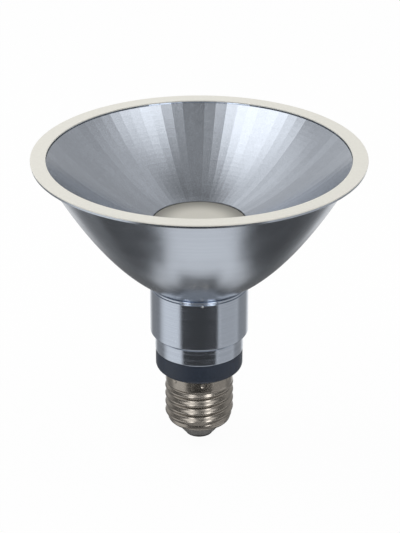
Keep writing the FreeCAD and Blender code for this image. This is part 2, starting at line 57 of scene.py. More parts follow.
def addCamera():
    data = bpy.data.cameras.new("camera")
    data.lens = camera["lens"]
    data.sensor_width = 36
    data.shift_x = camera["shiftX"]
    data.clip_end = 20
    viewer = bpy.data.objects.new("camera", data)
    down = math.radians(camera["downAngle"])
    viewer.location = (
        0, -camera["distance"] * math.cos(down), camera["aimHeight"] + camera["distance"] * math.sin(down))
    viewer.rotation_euler = (math.pi / 2 - down, 0, 0)
    bpy.context.collection.objects.link(viewer)
    bpy.context.scene.camera = viewer


addCamera()


# Helpers for node trees and colours

def linear(hexColour):
    channels = [int(hexColour[i:i + 2], 16) / 255 for i in (1, 3, 5)]
    return [c / 12.92 if c <= 0.04045 else ((c + 0.055) / 1.055) ** 2.4 for c in channels] + [1.0]


def addNode(tree, kind, links=None, **settings):
    node = tree.nodes.new(kind)
    for name, value in settings.items():
        setattr(node, name, value)
    for socket, value in (links or {}).items():
        if isinstance(value, bpy.types.NodeSocket):
            tree.links.new(value, node.inputs[socket])
        else:
            node.inputs[socket].default_value = value
    return node


def addMath(tree, operation, *values):
    return addNode(tree, "ShaderNodeMath", dict(enumerate(values)), operation=operation)


# Helpers for outlines: corners are (radius, height) or (radius, height, rounding), in millimetres.
# A point held just outside each rounding keeps the wall beside it flat

mostRounding = 0.46          # share of a wall that one rounding may take
mostHold = 0.49              # and the point held beside it


def roundCorners(corners, steps=4):
    points = []
    for index, corner in enumerate(corners):
        if len(corner) == 2:
            points.append(corner)
            continue
        r, z, reach = corner
        ends = []
        holds = []
        for other in (corners[index - 1], corners[(index + 1) % len(corners)]):
            length = math.hypot(other[0] - r, other[1] - z)
            for found, wanted, most in ((ends, reach, mostRounding), (holds, 1.5 * reach, mostHold)):
                share = min(wanted / length, most)
                found.append((r + (other[0] - r) * share, z + (other[1] - z) * share))
        points.append(holds[0])
        for step in range(steps + 1):
            t = step / steps
            points.append(tuple(
                (1 - t) ** 2 * a + 2 * t * (1 - t) * b + t * t * c
                for a, b, c in zip(ends[0], (r, z), ends[1])
            ))
        points.append(holds[1])
    return points


def arcPoints(centre, radius, fromAngle, toAngle, count):
    angles = [math.radians(fromAngle + (toAngle - fromAngle) * i / count) for i in range(count + 1)]
    return [(centre[0] + radius * math.cos(a), centre[1] + radius * math.sin(a)) for a in angles]


# Geometry Nodes: a profile turned about Z, with what each piece adds to the turned wall

def newShapeTree(name, inputs):
    tree = bpy.data.node_groups.new(name, "GeometryNodeTree")
    tree.interface.new_socket("Geometry", in_out="INPUT", socket_type="NodeSocketGeometry")
    for label, kind in inputs:
        tree.interface.new_socket(label, in_out="INPUT", socket_type="NodeSocket" + kind)
    tree.interface.new_socket("Geometry", in_out="OUTPUT", socket_type="NodeSocketGeometry")
    return tree, tree.nodes.new("NodeGroupInput").outputs


def turnProfile(tree, profile, sides, startAngle=0.0):
    # One grid column for each side takes the profile's points and is turned about Z
    size = addNode(tree, "GeometryNodeAttributeDomainSize", {"Geometry": profile})
    columns = addMath(tree, "ADD", sides, 1.0)
    grid = addNode(tree, "GeometryNodeMeshGrid", {
        "Vertices X": columns.outputs[0], "Vertices Y": size.outputs["Point Count"]})
    index = addNode(tree, "GeometryNodeInputIndex")
    share = addMath(tree, "DIVIDE", index.outputs[0], size.outputs["Point Count"])
    nudge = addMath(tree, "ADD", share.outputs[0], 1e-4)
    column = addMath(tree, "FLOOR", nudge.outputs[0])
    passed = addMath(tree, "MULTIPLY", column.outputs[0], size.outputs["Point Count"])
    row = addMath(tree, "SUBTRACT", index.outputs[0], passed.outputs[0])
    place = addNode(tree, "GeometryNodeInputPosition")
    point = addNode(tree, "GeometryNodeSampleIndex", {
        "Geometry": profile, "Value": place.outputs[0], "Index": row.outputs[0]}, data_type="FLOAT_VECTOR")
    turnShare = addMath(tree, "DIVIDE", column.outputs[0], sides)
    angle = addMath(tree, "MULTIPLY_ADD", turnShare.outputs[0], 2 * math.pi, startAngle)
    turned = addNode(tree, "ShaderNodeVectorRotate", {
        "Vector": point.outputs[0], "Angle": angle.outputs[0]}, rotation_type="Z_AXIS")
    wall = addNode(tree, "GeometryNodeSetPosition", {
        "Geometry": grid.outputs["Mesh"], "Position": turned.outputs[0]})
    return wall.outputs[0], row.outputs[0], column.outputs[0]


def closeTree(tree, shape, material):
    # Seams and poles are merged, and the result leaves as plain geometry with its material
    merged = addNode(tree, "GeometryNodeMergeByDistance", {"Geometry": shape, "Distance": 2e-6})
    plain = addNode(tree, "GeometryNodeRealizeInstances", {"Geometry": merged.outputs[0]})
    painted = addNode(tree, "GeometryNodeSetMaterial", {"Geometry": plain.outputs[0], "Material": material})
    addNode(tree, "NodeGroupOutput", {0: painted.outputs[0]})
    return tree


def makeTurnedTree():
    tree, inputs = newShapeTree("turnedPiece", [("Sides", "Int"), ("Material", "Material")])
    wall, row, column = turnProfile(tree, inputs["Geometry"], inputs["Sides"])
    return closeTree(tree, wall, inputs["Material"])


turnedTree = makeTurnedTree()


def runTree(name, profile, tree, values, sharpAngle, extra=None):
    # The profile goes through the tree once and comes back as a plain mesh
    lines = bpy.data.meshes.new(name + "Profile")
    edges = [(i, i + 1) for i in range(len(profile) - 1)]
    lines.from_pydata([(r * mm, 0, z * mm) for r, z in profile], edges, [])
    for label, numbers in (extra or {}).items():
        lines.attributes.new(label, "FLOAT", "POINT").data.foreach_set("value", numbers)
    piece = bpy.data.objects.new(name, lines)
    bpy.context.collection.objects.link(piece)
    modifier = piece.modifiers.new("shape", "NODES")
    modifier.node_group = tree
    sockets = {s.name: s.identifier for s in tree.interface.items_tree if s.in_out == "INPUT"}
    for label, value in values.items():
        modifier[sockets[label]] = value
    graph = bpy.context.evaluated_depsgraph_get()
    mesh = bpy.data.meshes.new_from_object(piece.evaluated_get(graph), depsgraph=graph)
    mesh.name = name
    piece.modifiers.clear()
    piece.data = mesh
    bpy.data.meshes.remove(lines)
    tidyMesh(mesh, sharpAngle)
    return piece


def tidyMesh(mesh, sharpAngle):
    work = bmesh.new()
    work.from_mesh(mesh)
    bmesh.ops.recalc_face_normals(work, faces=work.faces)
    work.to_mesh(mesh)
    work.free()
    mesh.shade_smooth()
    mesh.set_sharp_from_angle(angle=math.radians(sharpAngle))


def standFor(piece, node):
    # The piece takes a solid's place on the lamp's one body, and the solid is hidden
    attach(piece, "root")
    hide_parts(node)
    print(piece.name, "made:", len(piece.data.polygons), "faces")


# Materials

def newMaterial(name, colour, roughness, metallic=0.0):
    material = bpy.data.materials.new(name)
    material.use_nodes = True
    tree = material.node_tree
    shader = tree.nodes["Principled BSDF"]
    shader.inputs["Base Color"].default_value = linear(colour)
    shader.inputs["Roughness"].default_value = roughness
    shader.inputs["Metallic"].default_value = metallic
    return material, tree, shader


def turnedCoordinates(tree):
    # Radius and height, so that a pattern runs in rings round the axis
    place = addNode(tree, "ShaderNodeTexCoord").outputs["Object"]
    flat = addNode(tree, "ShaderNodeVectorMath", {0: place, 1: (1, 1, 0)}, operation="MULTIPLY")
    radius = addNode(tree, "ShaderNodeVectorMath", {0: flat.outputs[0]}, operation="LENGTH")
    height = addNode(tree, "ShaderNodeSeparateXYZ", {0: place})
    joined = addNode(tree, "ShaderNodeCombineXYZ", {"X": radius.outputs["Value"], "Y": height.outputs["Z"]})
    return joined.outputs[0]


def shadeBase(tree, base, share):
    # The base colour, or what is linked to it, is multiplied by a share
    source = base.links[0].from_socket if base.is_linked else tuple(base.default_value)
    shaded = addNode(tree, "ShaderNodeMix", {
        "Factor": 1.0, 6: source, 7: share}, data_type="RGBA", blend_type="MULTIPLY")
    tree.links.new(shaded.outputs[2], base)


def addMarks(tree, shader, vector, size, depth, tone, roughnessSpan, dimensions="3D", detail=3.0):
    # Marks of one size in millimetres: they dent the surface, and shade its colour and gloss a little
    noise = addNode(tree, "ShaderNodeTexNoise", {
        "Vector": vector, "Scale": 1 / (size * mm), "Detail": detail}, noise_dimensions=dimensions)
    height = noise.outputs["Fac"]
    if depth:
        bump = addNode(tree, "ShaderNodeBump", {"Strength": 1.0, "Distance": depth * mm, "Height": height})
        if shader.inputs["Normal"].is_linked:
            tree.links.new(shader.inputs["Normal"].links[0].from_socket, bump.inputs["Normal"])
        tree.links.new(bump.outputs[0], shader.inputs["Normal"])
    if tone:
        value = addNode(tree, "ShaderNodeMapRange", {
            "Value": height, "From Min": 0.3, "From Max": 0.7, "To Min": 1 - tone, "To Max": 1 + tone})
        shadeBase(tree, shader.inputs["Base Color"], value.outputs[0])
    if roughnessSpan:
        gloss = addNode(tree, "ShaderNodeMapRange", {
            "Value": height, "From Min": 0.3, "From Max": 0.7,
            "To Min": roughnessSpan[0], "To Max": roughnessSpan[1]})
        tree.links.new(gloss.outputs[0], shader.inputs["Roughness"])


def spunAluminium():
    # Aluminium sheet spun over a former and polished: a soft mirror with faint rings from the roller
    material, tree, shader = newMaterial("spunAluminium", "#B9C0CA", 0.2, 1.0)
    addMarks(tree, shader, turnedCoordinates(tree), 1.4, 0.0012, 0.02, None, "2D")
    place = addNode(tree, "ShaderNodeTexCoord").outputs["Object"]
    addMarks(tree, shader, place, 9.0, 0.0, 0.015, (0.18, 0.24))
    return material


def turnedAluminium():
    # Aluminium bar turned on a lathe and left bright: tool marks every half millimetre ring the wall
    material, tree, shader = newMaterial("turnedAluminium", "#BCC4D0", 0.16, 1.0)
    addMarks(tree, shader, turnedCoordinates(tree), 0.5, 0.0014, 0.04, (0.13, 0.2), "2D")
    return material


def metallisedFacets():
    # Anodised aluminium pressed into facets: satin, with a fine grain that breaks up each reflection
    material, tree, shader = newMaterial("metallisedFacets", "#BBC1CA", 0.24, 1.0)
    place = addNode(tree, "ShaderNodeTexCoord").outputs["Object"]
    addMarks(tree, shader, place, 0.35, 0.01, 0.12, (0.17, 0.25))
    tone = addNode(tree, "ShaderNodeAttribute", attribute_name="facetTone")
    value = addNode(tree, "ShaderNodeMapRange", {
        "Value": tone.outputs["Fac"], "To Min": 0.94, "To Max": 1.05})
    shadeBase(tree, shader.inputs["Base Color"], value.outputs[0])
    return material


def creamLacquer():
    # Ring stamped from aluminium and lacquered cream: even satin with a soft orange peel
    material, tree, shader = newMaterial("creamLacquer", "#E5E3DA", 0.38)
    place = addNode(tree, "ShaderNodeTexCoord").outputs["Object"]
    addMarks(tree, shader, place, 1.0, 0.008, 0.03, (0.34, 0.44))
    return material


def opalAcrylic():
    # Opal acrylic, blasted on its face: milky, with painted shade that darkens its colour towards its rim
    material, tree, shader = newMaterial("opalAcrylic", "#C9C6BC", 0.5)
    axes = addNode(tree, "ShaderNodeSeparateXYZ", {0: turnedCoordinates(tree)})
    # Painted shade: the colour falls to 0.4 of itself from 7.5 mm out to the rim at 17.5 mm, where the disc
    # sits in the throat's shade
    rim = addNode(tree, "ShaderNodeMapRange", {
        "Value": axes.outputs["X"], "From Min": 7.5 * mm, "From Max": 17.5 * mm,
        "To Min": 1.0, "To Max": 0.4}, interpolation_type="SMOOTHSTEP")
    shadeBase(tree, shader.inputs["Base Color"], rim.outputs[0])
    shader.inputs["Subsurface Weight"].default_value = 0.25
    shader.inputs["Subsurface Radius"].default_value = (0.004, 0.004, 0.003)
    place = addNode(tree, "ShaderNodeTexCoord").outputs["Object"]
    addMarks(tree, shader, place, 0.4, 0.01, 0.015, (0.45, 0.6))
    return material


def mouldedBlackPlastic():
    # Glass-filled polyester moulding, blue-black: sheen of the mould wall with a fine pebble
    material, tree, shader = newMaterial("mouldedBlackPlastic", "#1B2738", 0.48)
    place = addNode(tree, "ShaderNodeTexCoord").outputs["Object"]
    addMarks(tree, shader, place, 0.5, 0.006, 0.08, (0.42, 0.54))
    return material


def nickelPlate():
    # Nickel-plated brass, rolled: warm grey shine, clouded by handling and lightly scored round the thread
    material, tree, shader = newMaterial("nickelPlate", "#9D978F", 0.24, 1.0)
    addMarks(tree, shader, turnedCoordinates(tree), 0.6, 0.0, 0.04, None, "2D")
    place = addNode(tree, "ShaderNodeTexCoord").outputs["Object"]
    addMarks(tree, shader, place, 2.2, 0.0, 0.05, (0.2, 0.28))
    return material


def tinnedBrass():
    # Brass contact dipped in tin solder and long oxidised: dull grey, slightly lumpy
    material, tree, shader = newMaterial("tinnedBrass", "#4A4A4B", 0.5, 0.3)
    place = addNode(tree, "ShaderNodeTexCoord").outputs["Object"]
    addMarks(tree, shader, place, 1.5, 0.03, 0.06, (0.42, 0.56))
    return material


def blackGlass():
    # Cap glass, poured and left in its mould skin: dark grey, dulled, with a slow ripple
    material, tree, shader = newMaterial("blackGlass", "#646361", 0.4)
    shader.inputs["IOR"].default_value = 1.52
    place = addNode(tree, "ShaderNodeTexCoord").outputs["Object"]
    addMarks(tree, shader, place, 3.0, 0.05, 0.1, None)
    return material


# Bezel: the cream ring over the rim

bezel = {"mouthRadius": 55.84, "edgeRounding": 0.22, "sides": 360}


def buildBezel():
    low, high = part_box("bezel_ring")
    outer, foot, top = high.x / mm, low.z / mm, high.z / mm
    mouth, edge = bezel["mouthRadius"], bezel["edgeRounding"]
    outline = roundCorners([(mouth, foot), (outer, foot, edge / 2), (outer, top, edge), (mouth, top, edge)])
    values = {"Sides": bezel["sides"], "Material": creamLacquer()}
    standFor(runTree("bezelRing", outline + outline[:1], turnedTree, values, 30), "bezel_ring")


buildBezel()


# Reflector: 80 columns of facets on a parabola, with its flange and throat

reflector = {
    "columns": 80,
    "rows": 22,
    "mouthRadius": 55.7,
    "throatRadius": 17.58,
    "throatLedge": 0.3,
    "throatLength": 1.4,
    "sheet": 0.6,
    "backDrop": 0.85,        # how far the back lies under the facets
    "flangeSheet": 0.4,
    "pillow": 0.002,         # crown of each facet
    "unevenness": 0.002,     # how far a facet's corners stray
    "ownTone": 0.15,         # how far a facet's tone strays from its column's
    "backPoints": 12,
    "recessDepth": 0.8,      # shadow groove between the facets and the bezel
    "recessHeight": 0.55,
    "sharpAngle": 0.1,       # degrees: every facet edge stays sharp
    "seed": 7,
}


def makeFacetTree():
    tree, inputs = newShapeTree("facetedReflector", [
        ("Columns", "Int"), ("Facet Rows", "Int"), ("Pillow", "Float"), ("Unevenness", "Float"),
        ("Own Tone", "Float"), ("Seed", "Int"), ("Material", "Material")])
    halfStep = math.pi / reflector["columns"]
    wall, row, column = turnProfile(tree, inputs["Geometry"], inputs["Columns"], halfStep)
    # Corners stray a little in height, the same on both sides of the seam
    wrapped = addMath(tree, "MODULO", column, inputs["Columns"])
    cornerId = addMath(tree, "MULTIPLY_ADD", wrapped.outputs[0], 100.0, row)
    stray = addNode(tree, "FunctionNodeRandomValue", {
        "Min": -1.0, "Max": 1.0, "ID": cornerId.outputs[0], "Seed": inputs["Seed"]}, data_type="FLOAT")
    onFacets = addMath(tree, "LESS_THAN", row, inputs["Facet Rows"])
    aboveThroat = addMath(tree, "GREATER_THAN", row, 0.5)
    strayScale = addMath(tree, "MULTIPLY", stray.outputs["Value"], inputs["Unevenness"])
    strayHeld = addMath(tree, "MULTIPLY", strayScale.outputs[0], onFacets.outputs[0])
    strayFree = addMath(tree, "MULTIPLY", strayHeld.outputs[0], aboveThroat.outputs[0])
    strayShift = addNode(tree, "ShaderNodeCombineXYZ", {"Z": strayFree.outputs[0]})
    uneven = addNode(tree, "GeometryNodeSetPosition", {"Geometry": wall, "Offset": strayShift.outputs[0]})
    # Before it is divided, each facet is given a row, a column and a tone, most of it its column's
    size = addNode(tree, "GeometryNodeAttributeDomainSize", {"Geometry": inputs["Geometry"]})
    across = addMath(tree, "SUBTRACT", size.outputs["Point Count"], 1.0)
    face = addNode(tree, "GeometryNodeInputIndex")
    passed = addMath(tree, "DIVIDE", face.outputs[0], across.outputs[0])
    faceColumn = addMath(tree, "FLOOR", passed.outputs[0])
    columnTone = addNode(tree, "FunctionNodeRandomValue", {
        "ID": faceColumn.outputs[0], "Seed": inputs["Seed"]}, data_type="FLOAT")
    lightest = inputs["Own Tone"]
    darkest = addMath(tree, "MULTIPLY", lightest, -1.0)
    ownTone = addNode(tree, "FunctionNodeRandomValue", {
        "Min": darkest.outputs[0], "Max": lightest, "Seed": inputs["Seed"]}, data_type="FLOAT")
    tone = addMath(tree, "ADD", columnTone.outputs["Value"], ownTone.outputs["Value"])
    stored = addNode(tree, "GeometryNodeStoreNamedAttribute", {
        "Geometry": uneven.outputs[0], "Name": "facetTone", "Value": tone.outputs[0]},
        data_type="FLOAT", domain="FACE")
    for label, value in (("facetRow", row), ("facetColumn", column)):
        stored = addNode(tree, "GeometryNodeStoreNamedAttribute", {
            "Geometry": stored.outputs[0], "Name": label, "Value": value},
            data_type="FLOAT", domain="POINT")
    divided = addNode(tree, "GeometryNodeSubdivideMesh", {"Mesh": stored.outputs[0], "Level": 1})
    # The middle of a facet is crowned, and its edges stay put
    crown = None
    for label in ("facetRow", "facetColumn"):
        position = addNode(tree, "GeometryNodeInputNamedAttribute", {"Name": label}, data_type="FLOAT")
        within = addMath(tree, "FRACT", position.outputs["Attribute"])
        rest = addMath(tree, "SUBTRACT", 1.0, within.outputs[0])
        arch = addMath(tree, "MULTIPLY", within.outputs[0], rest.outputs[0])
        scaled = addMath(tree, "MULTIPLY", arch.outputs[0], 4.0)
        crown = scaled if crown is None else addMath(
            tree, "MULTIPLY", crown.outputs[0], scaled.outputs[0])
    rowHere = addNode(tree, "GeometryNodeInputNamedAttribute", {"Name": "facetRow"}, data_type="FLOAT")
    faceted = addMath(tree, "LESS_THAN", rowHere.outputs["Attribute"], inputs["Facet Rows"])
    lift = addMath(tree, "MULTIPLY", crown.outputs[0], inputs["Pillow"])
    held = addMath(tree, "MULTIPLY", lift.outputs[0], faceted.outputs[0])
    normal = addNode(tree, "GeometryNodeInputNormal")
    shift = addNode(tree, "ShaderNodeVectorMath", {
        0: normal.outputs[0], "Scale": held.outputs[0]}, operation="SCALE")
    crowned = addNode(tree, "GeometryNodeSetPosition", {
        "Geometry": divided.outputs[0], "Offset": shift.outputs[0]})
    return closeTree(tree, crowned.outputs[0], inputs["Material"])


def reflectorOutline():
    low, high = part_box("reflector")
    flangeRadius, foot, top = high.x / mm, low.z / mm, high.z / mm
    throatTop = foot + reflector["throatLength"]
    ledge = reflector["throatRadius"] + reflector["throatLedge"]
    facetTop = top - reflector["recessHeight"]
    rate = (reflector["mouthRadius"] ** 2 - ledge ** 2) / (facetTop - throatTop)
    wallLengths = [0.0]
    steps = 400
    radii = [ledge + (reflector["mouthRadius"] - ledge) * i / steps for i in range(steps + 1)]
    heights = [throatTop + (r * r - ledge * ledge) / rate for r in radii]
    for i in range(steps):
        length = math.hypot(radii[i + 1] - radii[i], heights[i + 1] - heights[i])
        wallLengths.append(wallLengths[-1] + length)
    facets = []
    for row in range(reflector["rows"] + 1):
        target = wallLengths[-1] * row / reflector["rows"]
        i = min(range(steps + 1), key=lambda k: abs(wallLengths[k] - target))
        facets.append((radii[i], heights[i]))
    facets.reverse()
    backRadius = reflector["throatRadius"] + reflector["sheet"]
    flangeFoot = top - reflector["flangeSheet"]
    backHigh = math.sqrt(ledge ** 2 + rate * (flangeFoot + reflector["backDrop"] - throatTop))
    back = []
    for i in range(reflector["backPoints"] + 1):
        r = backRadius + (backHigh - backRadius) * i / reflector["backPoints"]
        back.append((r, throatTop + (r * r - ledge * ledge) / rate - reflector["backDrop"]))
    rest = [(reflector["throatRadius"], throatTop), (reflector["throatRadius"], foot), (backRadius, foot)]
    rest += back + [(flangeRadius, flangeFoot), (flangeRadius, top)]
    recessRadius = reflector["mouthRadius"] + reflector["recessDepth"]
    return facets + rest + [(recessRadius, top), (recessRadius, facetTop), facets[0]]


def buildReflector():
    values = {
        "Columns": reflector["columns"], "Facet Rows": reflector["rows"],
        "Pillow": reflector["pillow"] * mm, "Unevenness": reflector["unevenness"] * mm,
        "Own Tone": reflector["ownTone"], "Seed": reflector["seed"], "Material": metallisedFacets()}
    sharpAngle = reflector["sharpAngle"]
    piece = runTree("facetedReflector", reflectorOutline(), makeFacetTree(), values, sharpAngle)
    standFor(piece, "reflector")


buildReflector()


# Diffuser: opal disc whose raised face fills the throat

disc = {
    "faceGap": 0.12,
    "faceBelowThroat": 0.3,
    "crown": 0.15,
    "crownReach": 0.96,      # share of the face that is crowned
    "crownPoints": 8,
    "edgeRounding": 0.25,
    "sides": 240,
}


def buildDisc():
    low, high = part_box("diffuser")
    outer, foot, ledge = high.x / mm, low.z / mm, high.z / mm
    face = reflector["throatRadius"] - disc["faceGap"]
    top = ledge + reflector["throatLength"] - disc["faceBelowThroat"]
    crown = []
    for i in range(disc["crownPoints"] + 1):
        r = face * disc["crownReach"] * (1 - i / disc["crownPoints"])
        crown.append((r, top + disc["crown"] * (1 - (r / face) ** 2)))
    edge = [(0, foot), (outer, foot), (outer, ledge), (face, ledge), (face, top, disc["edgeRounding"])]
    outline = roundCorners(edge + crown)
    values = {"Sides": disc["sides"], "Material": opalAcrylic()}
    standFor(runTree("opalDisc", outline, turnedTree, values, 30), "diffuser")


buildDisc()


# Outer bowl: spun sheet on a parabola, with a stepped flange under the ring

bowl = {
    "footRadius": 17.9,
    "shoulderRadius": 18.55,
    "shoulder": 0.5,
    "topRadius": 57.52,
    "flangeSheet": 0.5,
    "flangeStep": 0.4,
    "hem": 0.85,             # height of the flange's folded edge
    "stepRadius": 58.6,
    "seatRadius": 58.05,
    "sheet": 0.7,
    "lift": 1.2,             # how far the inside of the sheet lies over the outside
    "points": 48,
    "sides": 320,
    "edgeRounding": 0.06,
}


def buildBowl():
    low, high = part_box("outer_bowl")
    outer, foot, top = high.x / mm, low.z / mm, high.z / mm
    edge = bowl["edgeRounding"]
    stepTop = top - bowl["flangeStep"]
    stepFoot = stepTop - bowl["flangeSheet"]
    startZ = foot + bowl["shoulder"]
    rate = (bowl["topRadius"] ** 2 - bowl["shoulderRadius"] ** 2) / (stepFoot - startZ)
    apex = startZ - bowl["shoulderRadius"] ** 2 / rate
    wall = []
    inside = []
    innerLow = math.sqrt(rate * (foot + bowl["sheet"] - bowl["lift"] - apex))
    innerHigh = math.sqrt(rate * (stepTop - bowl["lift"] - apex))
    for i in range(bowl["points"] + 1):
        share = i / bowl["points"]
        r = bowl["shoulderRadius"] + (bowl["topRadius"] - bowl["shoulderRadius"]) * share
        wall.append((r, apex + r * r / rate))
        r = innerHigh + (innerLow - innerHigh) * share
        inside.append((r, apex + bowl["lift"] + r * r / rate))
    corners = [(0, foot), (bowl["footRadius"], foot)] + wall
    corners += [
        (bowl["stepRadius"], stepFoot, edge), (bowl["stepRadius"], top - bowl["hem"], edge / 2),
        (outer, top - bowl["hem"], edge), (outer, top, edge), (bowl["seatRadius"], top),
        (bowl["seatRadius"], stepTop)]
    outline = roundCorners(corners + inside + [(0, foot + bowl["sheet"])])
    values = {"Sides": bowl["sides"], "Material": spunAluminium()}
    standFor(runTree("outerBowl", outline, turnedTree, values, 30), "outer_bowl")


buildBowl()


# Collar: turned sleeve with a grooved lip, a shoulder and a narrower band

collar = {
    "bore": 15.28,
    "bandRadius": 16.73,
    "bandHeight": 6.6,
    "shoulderChamfer": 1.3,
    "webThickness": 4.8,
    "grooveBelowTop": 0.6,
    "grooveWidth": 0.6,
    "grooveDepth": 0.4,
    "edgeBreak": 0.45,
    "pinAcross": 1.25,       # stake mark under the lip
    "pinBelowTop": 1.5,
    "pinRadius": 0.4,
    "sides": 288,
}


def addPin(piece, across, radius, height, size):
    # A small dome is set into the wall at the front
    work = bmesh.new()
    work.from_mesh(piece.data)
    place = Vector((across, -math.sqrt(radius ** 2 - across ** 2), height)) * mm
    made = bmesh.ops.create_icosphere(work, subdivisions=3, radius=size * mm)
    bmesh.ops.translate(work, verts=made["verts"], vec=place)
    for face in {face for vertex in made["verts"] for face in vertex.link_faces}:
        face.smooth = True
    work.to_mesh(piece.data)
    work.free()


def buildCollar():
    low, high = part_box("collar")
    outer, foot, top = high.x / mm, low.z / mm, high.z / mm
    edge = collar["edgeBreak"]
    bandTop = foot + collar["bandHeight"]
    grooveTop = top - collar["grooveBelowTop"]
    grooveFoot = grooveTop - collar["grooveWidth"]
    grooveRadius = outer - collar["grooveDepth"]
    chamfer = collar["shoulderChamfer"]
    outline = roundCorners([
        (collar["bore"], foot), (collar["bandRadius"], foot, edge), (collar["bandRadius"], bandTop, 0.1),
        (outer - chamfer, bandTop, 0.15), (outer, bandTop + chamfer, 0.2), (outer, grooveFoot, 0.08),
        (grooveRadius, grooveFoot + collar["grooveWidth"] / 3, 0.1), (grooveRadius, grooveTop, 0.1),
        (outer, grooveTop, 0.12), (outer, top, edge), (0, top), (0, top - collar["webThickness"]),
        (collar["bore"], top - collar["webThickness"])])
    values = {"Sides": collar["sides"], "Material": turnedAluminium()}
    piece = runTree("turnedCollar", outline + outline[:1], turnedTree, values, 25)
    addPin(piece, collar["pinAcross"], outer - 0.1, top - collar["pinBelowTop"], collar["pinRadius"])
    standFor(piece, "collar")


buildCollar()


# Screw cap: sheet rolled into an E27 thread, with crimp dents in its skirt

cap = {
    "crest": 13.15,
    "root": 12.15,
    "pitch": 3.629,
    "firstCrest": 9.0,
    "skirtRadius": 12.9,
    "skirtHeight": 5.2,
    "fade": 1.8,
    "lipRadius": 1.6,
    "mouthRadius": 9.3,
    "wall": 0.4,
    "dentCount": 7,
    "firstDent": -84.0,      # degrees from +X
    "dentBelowTop": 2.4,
    "dentBall": 1.5,
    "dentDepth": 0.25,
    "rowStep": 0.16,
    "sides": 288,
}


def smoothStep(share):
    share = min(max(share, 0.0), 1.0)
    return share * share * (3 - 2 * share)


def makeThreadTree():
    tree, inputs = newShapeTree("rolledCap", [
        ("Sides", "Int"), ("Pitch", "Float"), ("First Crest", "Float"), ("Half Depth", "Float"),
        ("Dent Count", "Int"), ("First Dent", "Float"), ("Dent Reach", "Float"), ("Dent Height", "Float"),
        ("Dent Ball", "Float"), ("Material", "Material")])
    wall, row, column = turnProfile(tree, inputs["Geometry"], inputs["Sides"])
    share = addNode(tree, "GeometryNodeInputNamedAttribute", {"Name": "threadShare"}, data_type="FLOAT")
    sampled = addNode(tree, "GeometryNodeSampleIndex", {
        "Geometry": inputs["Geometry"], "Value": share.outputs["Attribute"], "Index": row},
        data_type="FLOAT")
    # The wave climbs one pitch in each turn
    place = addNode(tree, "GeometryNodeInputPosition")
    axes = addNode(tree, "ShaderNodeSeparateXYZ", {0: place.outputs[0]})
    angle = addMath(tree, "ARCTAN2", axes.outputs["Y"], axes.outputs["X"])
    above = addMath(tree, "SUBTRACT", axes.outputs["Z"], inputs["First Crest"])
    turns = addMath(tree, "DIVIDE", above.outputs[0], inputs["Pitch"])
    climb = addMath(tree, "MULTIPLY", turns.outputs[0], 2 * math.pi)
    phase = addMath(tree, "SUBTRACT", climb.outputs[0], angle.outputs[0])
    wave = addMath(tree, "COSINE", phase.outputs[0])
    lifted = addMath(tree, "ADD", wave.outputs[0], 1.0)
    height = addMath(tree, "MULTIPLY", lifted.outputs[0], inputs["Half Depth"])
    kept = addMath(tree, "MULTIPLY", height.outputs[0], sampled.outputs[0])
    flat = addNode(tree, "ShaderNodeVectorMath", {0: place.outputs[0], 1: (1, 1, 0)}, operation="MULTIPLY")
    outward = addNode(tree, "ShaderNodeVectorMath", {0: flat.outputs[0]}, operation="NORMALIZE")
    shift = addNode(tree, "ShaderNodeVectorMath", {
        0: outward.outputs[0], "Scale": kept.outputs[0]}, operation="SCALE")
    threaded = addNode(tree, "GeometryNodeSetPosition", {"Geometry": wall, "Offset": shift.outputs[0]})
    # Each dent is the mark of a ball pressed into the skirt
    ring = addNode(tree, "GeometryNodeMeshCircle", {
        "Vertices": inputs["Dent Count"], "Radius": inputs["Dent Reach"]})
    ringTurn = addNode(tree, "ShaderNodeCombineXYZ", {"Z": inputs["First Dent"]})
    ringPlace = addNode(tree, "ShaderNodeCombineXYZ", {"Z": inputs["Dent Height"]})
    balls = addNode(tree, "GeometryNodeTransform", {
        "Geometry": ring.outputs[0], "Translation": ringPlace.outputs[0], "Rotation": ringTurn.outputs[0]})
    near = addNode(tree, "GeometryNodeProximity", {0: balls.outputs[0]}, target_element="POINTS")
    distance = near.outputs["Distance"]
    pressed = addMath(tree, "LESS_THAN", distance, inputs["Dent Ball"])
    away = addNode(tree, "ShaderNodeVectorMath", {
        0: place.outputs[0], 1: near.outputs["Position"]}, operation="SUBTRACT")
    unit = addNode(tree, "ShaderNodeVectorMath", {0: away.outputs[0]}, operation="NORMALIZE")
    reach = addNode(tree, "ShaderNodeVectorMath", {
        0: unit.outputs[0], "Scale": inputs["Dent Ball"]}, operation="SCALE")
    onBall = addNode(tree, "ShaderNodeVectorMath", {
        0: near.outputs["Position"], 1: reach.outputs[0]}, operation="ADD")
    dented = addNode(tree, "GeometryNodeSetPosition", {
        "Geometry": threaded.outputs[0], "Selection": pressed.outputs[0], "Position": onBall.outputs[0]})
    return closeTree(tree, dented.outputs[0], inputs["Material"])


